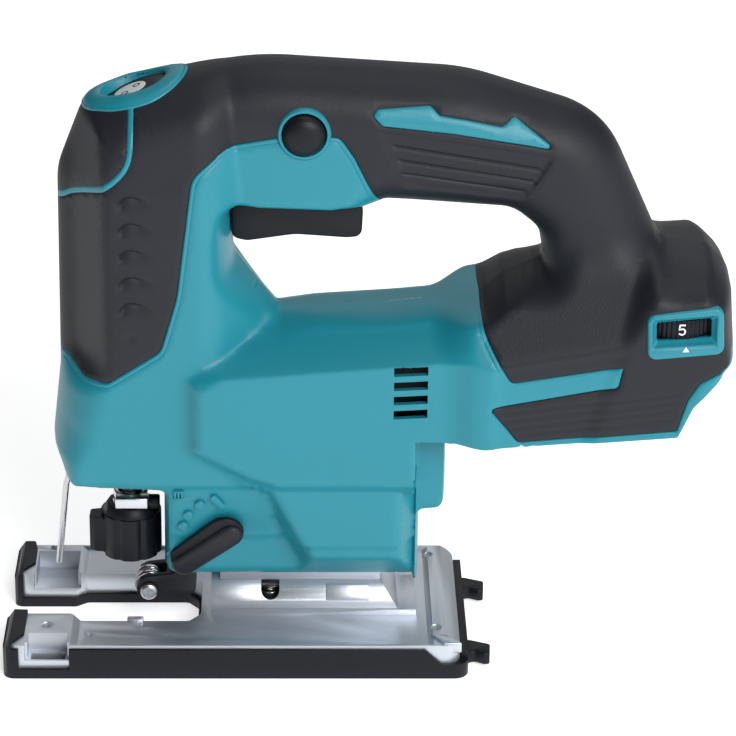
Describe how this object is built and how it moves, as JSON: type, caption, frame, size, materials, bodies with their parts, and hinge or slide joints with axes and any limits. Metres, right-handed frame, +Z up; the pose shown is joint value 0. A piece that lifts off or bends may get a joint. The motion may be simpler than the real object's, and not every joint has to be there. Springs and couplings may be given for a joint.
{
  "type": "cordless jigsaw",
  "caption": "Battery jigsaw with a D-handle: two-part housing, rubber grip, geared crank drive, blade rod, guide roller and tilting, sliding base.",
  "frame": {"origin": "middle of the sole, on the floor under the blade rod's plane", "axes": "+X to the rear of the tool, -Y to its left side, +Z up"},
  "size_m": [0.2477, 0.077, 0.2115],
  "materials": {
    "shell": "fine moulded texture, teal",
    "grip": "soft matte overmould",
    "black_plastic": "moulded",
    "aluminium": "die cast",
    "steel": "ground",
    "dark_steel": "blackened",
    "copper": "wound copper",
    "circuit": "board",
    "bronze": "sintered",
    "rubber": "matte",
    "lens": "clear",
    "nylon": "moulded"
  },
  "bodies": {
    "housing": {"housing_left": "shell", "housing_right": "shell", "grip_left": "grip", "grip_right": "grip", "button_bezel": "shell", "gear_housing": "aluminium", "gear_cover": "aluminium", "gear_axle": "steel", "rod_bush_upper": "bronze", "rod_guide": "aluminium", "rod_bush_lower": "bronze", "stator": "copper", "motor_bearing_front": "steel", "motor_bearing_rear": "steel", "rear_bearing_holder": "rubber", "arm_pivot_pin": "steel", "arm_push_rod": "steel", "wire_guard": "steel", "switch_body": "black_plastic", "trigger_spring": "steel", "power_button_board": "circuit", "dial_frame": "shell", "dial_board": "circuit", "battery_rails": "black_plastic", "terminal_block": "black_plastic", "battery_terminal_1": "copper", "battery_terminal_2": "copper", "controller": "dark_steel", "led_lens": "lens", "bevel_seat": "aluminium", "housing_screw_1": "steel", "housing_screw_2": "steel", "housing_screw_3": "steel", "housing_screw_4": "steel", "housing_screw_5": "steel", "housing_screw_6": "steel", "housing_screw_7": "steel"},
    "trigger": {"trigger": "black_plastic"},
    "lock_button": {"lock_button": "black_plastic"},
    "power_button": {"power_button": "black_plastic"},
    "speed_dial": {"speed_dial": "black_plastic"},
    "orbital_lever": {"orbital_lever": "black_plastic", "orbital_cam": "steel"},
    "rotor": {"rotor": "dark_steel", "cooling_fan": "nylon", "pinion": "steel"},
    "crank": {"crank_gear": "steel", "crank_pin": "steel"},
    "rod": {"blade_rod": "steel", "blade_clamp": "steel", "clamp_spring": "steel"},
    "opener": {"tool_opener": "black_plastic"},
    "counterweight": {"counterweight": "dark_steel"},
    "roller_arm": {"roller_arm": "dark_steel", "roller_pin": "steel"},
    "roller": {"guide_roller": "steel"},
    "base_clamp": {"clamp_plate": "steel", "clamp_bolt": "steel"},
    "base": {"base": "aluminium", "base_cover": "black_plastic"}
  },
  "joints": [
    {"name": "trigger_pull", "type": "hinge", "parent": "housing", "child": "trigger", "pos_m": [0.0045, 0, 0.169], "axis": [0, -1, 0], "range_deg": [0, 5], "stiffness_Nm_per_rad": 1.5, "springref_deg": -5.73, "deforming": ["trigger_spring"]},
    {"name": "lock_button_push", "type": "slide", "parent": "housing", "child": "lock_button", "axis": [0, 1, 0], "range_m": [0, 0.003], "stiffness_N_per_m": 300, "springref_m": -0.004},
    {"name": "power_button_press", "type": "slide", "parent": "housing", "child": "power_button", "axis": [0.3746, 0, -0.9272], "range_m": [0, 0.001], "stiffness_N_per_m": 800, "springref_m": -0.001},
    {"name": "speed_dial_turn", "type": "hinge", "parent": "housing", "child": "speed_dial", "pos_m": [0.148, -0.0209, 0.1298], "axis": [0, 0, 1], "range_deg": [-144, 36]},
    {"name": "orbital_lever_turn", "type": "hinge", "parent": "housing", "child": "orbital_lever", "pos_m": [-0.0029, -0.01935, 0.0471], "axis": [0, 0.9543, 0.2987], "range_deg": [0, 110]},
    {"name": "crank_spin", "type": "hinge", "parent": "housing", "child": "crank", "pos_m": [0, 0, 0.1194], "axis": [1, 0, 0], "continuous": true},
    {"name": "rotor_spin", "type": "hinge", "parent": "housing", "child": "rotor", "pos_m": [0, 0, 0.096], "axis": [1, 0, 0], "continuous": true},
    {"name": "rod_stroke", "type": "slide", "parent": "housing", "child": "rod", "axis": [0, 0, 1], "range_m": [0, 0.026]},
    {"name": "counterweight_slide", "type": "slide", "parent": "housing", "child": "counterweight", "axis": [0, 0, 1], "range_m": [-0.014, 0]},
    {"name": "opener_turn", "type": "hinge", "parent": "rod", "child": "opener", "pos_m": [-0.037, 0, 0.038], "axis": [0, 0, -1], "range_deg": [0, 60], "stiffness_Nm_per_rad": 0.06, "springref_deg": -17.19},
    {"name": "roller_arm_swing", "type": "hinge", "parent": "housing", "child": "roller_arm", "pos_m": [-0.0175, 0, 0.034], "axis": [0, 1, 0], "range_deg": [0, 4], "stiffness_Nm_per_rad": 2, "springref_deg": -2.86},
    {"name": "guide_roller_spin", "type": "hinge", "parent": "roller_arm", "child": "roller", "pos_m": [-0.031, 0, 0.0175], "axis": [0, 1, 0], "continuous": true},
    {"name": "base_slide", "type": "slide", "parent": "housing", "child": "base_clamp", "axis": [1, 0, 0], "range_m": [0, 0.015]},
    {"name": "base_tilt", "type": "hinge", "parent": "base_clamp", "child": "base", "pos_m": [0.0115, 0, 0.0122], "axis": [1, 0, 0], "range_deg": [-45, 45]}
  ],
  "couplings": [
    {"joint": "rotor_spin", "follows": "crank_spin", "ratio": -5.5},
    {"joint": "counterweight_slide", "follows": "rod_stroke", "ratio": -0.53846}
  ]
}
